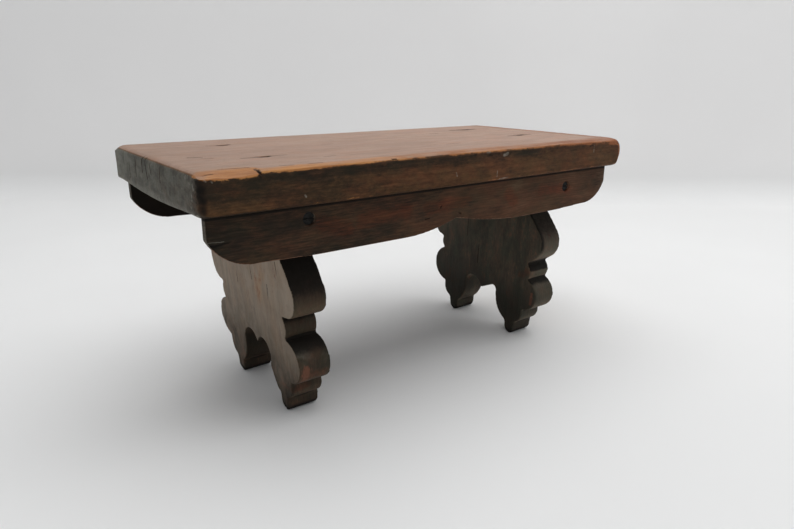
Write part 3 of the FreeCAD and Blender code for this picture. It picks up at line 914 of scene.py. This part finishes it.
def dress_leg(node, name, look):
    piece = even_copy(node, name, LEG_VOXEL)
    surface = Surface(piece.data)
    seed = look.seed
    sharp, _, normals = wear_edges(surface, 0.3, 3, seed, LEG_VOXEL)
    undulate(surface, normals, 0.2, (18, 24, 50), seed + 1)
    undulate(surface, normals, 0.1, (4, 4, 18), seed + 2)
    x, y, z = surface.points.T
    z_mm = z / MM
    rounder = surface.spread(surface.points, 10)
    surface.points += (rounder - surface.points) * (sharp * ramp(z_mm, 28, 12) * 0.85)[:, None]
    sole_round = np.clip(1 - z_mm / SOLE_HEIGHT, 0, 1)
    x -= normals[:, 0] * sole_round ** 2 * SOLE_ROUND_X * MM
    y -= normals[:, 1] * sole_round ** 2 * SOLE_ROUND_Y * MM
    keep_inside(surface)

    outer = ramp(normals[:, 0] * look.outward, 0.6, 0.9)
    inner = ramp(-normals[:, 0] * look.outward, 0.6, 0.9)
    sawn = np.clip(1 - outer - inner, 0, 1)
    surface.even_masks(polished=0.0, bare=0.0, rosy=0.4)
    # Pale dust on the lower lobes, partly a painted highlight on the left leg's dark lobe
    lobe_dust_band = ramp(z_mm, 46, 52) * ramp(z_mm, 60, 56) * look.dusted
    surface.mask("dust", lobe_dust_band * sawn * spots(surface, seed + 7, (8, 8, 5), -0.4, 0.4))
    surface.mask("sharp", sharp * ramp(z_mm, 8, 22) * ramp(z_mm, 118, 100))
    # Painted light: downward-facing sawn edges are made greyer and warmer, standing for light bounced up from
    # the floor
    facing_down = ramp(-normals[:, 2], 0.0, 0.6) * sawn
    worn_grey = level_at(z_mm, look.grey)
    surface.mask("weathered", np.maximum(outer * worn_grey, look.under_grey * facing_down))
    warm = 0.42 + 0.2 * noise(surface.points, (20, 16, 50), seed + 3, 3) + 0.25 * facing_down
    # The inner face is lighter towards the back lobe and darker towards the bottom
    back_lobe = ramp(y / MM, 0, 60) * ramp(z_mm, 60, 110)
    warm += inner * (0.4 * back_lobe - 0.15) - 0.3 * ramp(z_mm, 75, 25)
    blush = np.exp(-((y / MM + 28) / 26) ** 2) * ramp(z_mm, 36, 60)
    blush *= 0.55 + 0.5 * noise(surface.points, (20, 12, 30), seed + 5, 3)
    surface.mask("warm", np.where(outer > 0.5, blush + 0.1, warm))
    # Notches are darkened as dirt and as painted shade in the hollow
    notch = ramp(surface.depth_in(normals, 40), 0.2, 0.9) * sawn
    from_inner = np.clip(surface.high[0] - x if look.outward < 0 else x - surface.low[0], 0, None) / MM
    grime_and_shade = leg_grime_and_shade(surface, look, y, z_mm, from_inner, sawn, notch)
    # The inner face is darker towards the bottom
    low_face = 0.46 * ramp(z_mm, 70, 25) * inner
    surface.mask("grime_and_shade", np.maximum(grime_and_shade, low_face))
    surface.write()
    piece.data.materials.append(old_wood(
        name + " wood", "ZYX", (15, -190), 3.0, look.tones, (5.5, 1.8, 1.8), (14, 8, 30), look.marks,
        grain=0.38, weather_depth=0.08))
    return piece


def place(piece, slot, *nodes):
    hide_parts(*nodes)
    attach(piece, "root")


LEFT_TONES = Tones(
    bare=(0.33, 0.19, 0.11), bare_dark=(0.19, 0.1, 0.055), stain=(0.084, 0.058, 0.037),
    stain_dark=(0.024, 0.019, 0.0135), rust=(0.14, 0.1, 0.07), weathered=(0.302, 0.244, 0.188),
    polished=(0.3, 0.2, 0.15))
RIGHT_TONES = LEFT_TONES._replace(
    stain=(0.1, 0.081, 0.058), stain_dark=(0.038, 0.0335, 0.0255), rust=(0.118, 0.092, 0.067),
    weathered=(0.295, 0.232, 0.17))
# How black the legs' sawn edges are by height, as dirt and as painted shade under the apron and in the notches
LEFT_DIRT_AND_SHADE = [(0, 0.1), (42, 0.0), (48, 0.15), (53, 0.32), (57, 0.75), (61, 0.95), (63.5, 0.5), (66, 0.42),
             (74, 0.45), (76.5, 0.85), (79, 0.9), (80.5, 0.2), (86, 0.18), (97, 0.55), (106, 0.9), (160, 0.9)]
RIGHT_DIRT_AND_SHADE = [(0, 0.5), (12, 0.4), (18, 0.22), (54, 0.26), (56.5, 0.85), (59.3, 0.95), (60.4, 0.15),
              (66, 0.1), (67.8, 0.85), (74, 0.95), (77.5, 0.5), (79, 0.12), (90, 0.14), (98, 0.38),
              (108, 0.6), (160, 0.9)]
LEFT_GREY = [(0, 0.15), (10, 0.22), (20, 0.29), (37, 0.37), (54, 0.51), (67, 0.57), (94, 0.75), (118, 0.88)]
RIGHT_GREY = [(0, 0.1), (24, 0.55), (48, 1.0)]
LEFT_LEG_MARKS = {
    "rubbed": [Mark((-121.8, -66, 43.5), (-121.8, -62, 34.5), 5.2, 1)],
    "red": [Mark((-124, -54, 22), (-112, -54, 24), 4.5, 1), Mark((-122, -66, 38), (-108, -66, 38), 6, 1)],
    "dark": [Mark((-132, -51, 118), (-131.5, -51.5, 108), 0.6, 0),
             Mark((-130.6, -33.5, 97), (-130, -32, 84), 0.6, 0),
             Mark((-130.4, -8, 94), (-131, -7, 108), 0.5, 0),
             Mark((-129.5, 20, 84), (-130.5, 21, 104), 0.5, 0)],
}
RIGHT_LEG_FACE = 111.8
RIGHT_LEG_MARKS = {
    "rubbed": marks_on(0, RIGHT_LEG_FACE, [(-63.5, 37, -64.7, 47, 2.4)]),
    "dark": marks_on(0, RIGHT_LEG_FACE, [(6, 60, 5, 78, 0.5), (22, 84, 21, 102, 0.5)]),
    "red": marks_on(0, RIGHT_LEG_FACE, [(-50, 62, -57, 66, 6)]),
}

place(dress_board(), "board_wood", "top_board")
place(dress_apron("front_apron", "worn_front_apron", -1, 31), "apron_wood", "front_apron")
place(dress_apron("back_apron", "worn_back_apron", 1, 41), "apron_wood", "back_apron")
left_look = LegLook(
    seed=51, outward=-1, dirt=LEFT_DIRT_AND_SHADE, back_shift=-1.2, grey=LEFT_GREY, tones=LEFT_TONES,
    marks=LEFT_LEG_MARKS, under_grey=0.0, creased=0.0, arched=0.5, dusted=0.24)
right_look = LegLook(
    seed=61, outward=1, dirt=RIGHT_DIRT_AND_SHADE, back_shift=4.3, grey=RIGHT_GREY, tones=RIGHT_TONES,
    marks=RIGHT_LEG_MARKS, under_grey=0.24, creased=0.8, arched=0.2, dusted=0.04)
place(dress_leg("left_leg", "worn_left_leg", left_look), "leg_wood", "left_leg")
place(dress_leg("right_leg", "worn_right_leg", right_look), "leg_wood", "right_leg")

nail_iron = old_iron("nail iron", (0.022, 0.018, 0.016), (0.02, 0.012, 0.008), 0.6)
screw_iron = old_iron("screw iron", (0.0125, 0.0125, 0.012), (0.008, 0.0065, 0.0055), 0.6)
for node, material in (("top_nails_left", nail_iron), ("top_nails_right", nail_iron),
                       ("front_apron_screws", screw_iron), ("back_apron_screws", screw_iron)):
    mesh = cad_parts[node].data
    if len(mesh.materials) == 0:
        mesh.materials.append(material)
    for index in range(len(mesh.materials)):
        mesh.materials[index] = material

# The photographer's place
CAMERA_PLACE = (-0.29476, -0.39767, 0.23326)
CAMERA_YAW = math.radians(37.219)
CAMERA_DOWN = math.radians(17.275)
CAMERA_ROLL = math.radians(0.371)
LENS = 27.15
SENSOR_WIDTH = 36
CLIP_START = 0.01
ahead = Vector((math.sin(CAMERA_YAW), math.cos(CAMERA_YAW), 0))
level = Vector((math.cos(CAMERA_YAW), -math.sin(CAMERA_YAW), 0))

# Floor and backdrop: one sheet of pale paper that turns up into a wall behind the stool
WALL_PLACE = 0.7
SHEET_REACH = 3.0
WALL_HEIGHT = 2.2
TURN_RADIUS = 0.05
TURN_STEPS = 12
FLOOR_TONE = (0.87, 0.87, 0.865)
WALL_TONE = (0.905, 0.895, 0.89)
CLOUD_TONE = (0.5, 0.5, 0.5)


def paper():
    tree = Tree("white paper")
    cloud = tree.noise((500, 500, 500))
    risen = tree.step(tree.split(tree.place)[2], 0.0, 2 * TURN_RADIUS)
    colour = tree.cover(tree.mix(risen, FLOOR_TONE, WALL_TONE), CLOUD_TONE, cloud, 0.35, 0.65, 0.07)
    tree.set("Base Color", colour)
    tree.set("Roughness", 0.9)
    tree.set("Specular IOR Level", 0.2)
    tree.set("Normal", tree.bump(tree.noise((110, 110, 110), roughness=0.6), 2.0, 0.4))
    return tree.material


def paper_sweep():
    profile = [(-SHEET_REACH, 0.0)]
    for step in range(TURN_STEPS + 1):
        angle = math.pi / 2 * step / TURN_STEPS
        run = WALL_PLACE - TURN_RADIUS + TURN_RADIUS * math.sin(angle)
        profile.append((run, TURN_RADIUS * (1 - math.cos(angle))))
    profile.append((WALL_PLACE, WALL_HEIGHT))
    corners = [tuple(ahead * run + level * side * SHEET_REACH + Vector((0, 0, rise)))
               for run, rise in profile for side in (-1, 1)]
    faces = [(2 * i, 2 * i + 1, 2 * i + 3, 2 * i + 2) for i in range(len(profile) - 1)]
    mesh = bpy.data.meshes.new("paper_sweep")
    mesh.from_pydata(corners, [], faces)
    for polygon in mesh.polygons:
        polygon.use_smooth = True
    mesh.materials.append(paper())
    sheet = add_object("paper_sweep", mesh)


paper_sweep()

# Camera
forward = math.cos(CAMERA_DOWN) * ahead - Vector((0, 0, math.sin(CAMERA_DOWN)))
upward = level.cross(forward)
right = math.cos(CAMERA_ROLL) * level + math.sin(CAMERA_ROLL) * upward
up = -math.sin(CAMERA_ROLL) * level + math.cos(CAMERA_ROLL) * upward
lens = bpy.data.cameras.new("camera")
lens.sensor_width = SENSOR_WIDTH
lens.lens = LENS
lens.clip_start = CLIP_START
camera = add_object("camera", lens)
camera.matrix_world = Matrix.Translation(CAMERA_PLACE) @ Matrix((right, up, -forward)).transposed().to_4x4()
bpy.context.scene.camera = camera


# Lights
Lamp = namedtuple("Lamp", "name place target size power")
LAMPS = [
    Lamp("overhead", (0.4, 0.05, 1.6), (0.03, 0.0, 0.0), (2.2, 2.4), 28.2),
    Lamp("side", (1.5, -0.9, 0.9), (0.1, 0.0, 0.05), (1.2, 1.0), 2.2),
]
SKY_COLOUR = (0.96, 0.98, 1.0, 1)
SKY_STRENGTH = 0.4


def area_light(lamp):
    data = bpy.data.lights.new(lamp.name, "AREA")
    data.shape = "RECTANGLE"
    data.size, data.size_y = lamp.size
    data.energy = lamp.power
    light = add_object(lamp.name, data)
    light.location = lamp.place
    light.rotation_mode = "QUATERNION"
    light.rotation_quaternion = (Vector(lamp.target) - Vector(lamp.place)).to_track_quat("-Z", "Y")


for lamp in LAMPS:
    area_light(lamp)
world = bpy.data.worlds.new("room")
bpy.context.scene.world = world
world.use_nodes = True
sky = world.node_tree.nodes["Background"]
sky.inputs["Color"].default_value = SKY_COLOUR
sky.inputs["Strength"].default_value = SKY_STRENGTH

view = bpy.context.scene.view_settings
view.view_transform = "Standard"
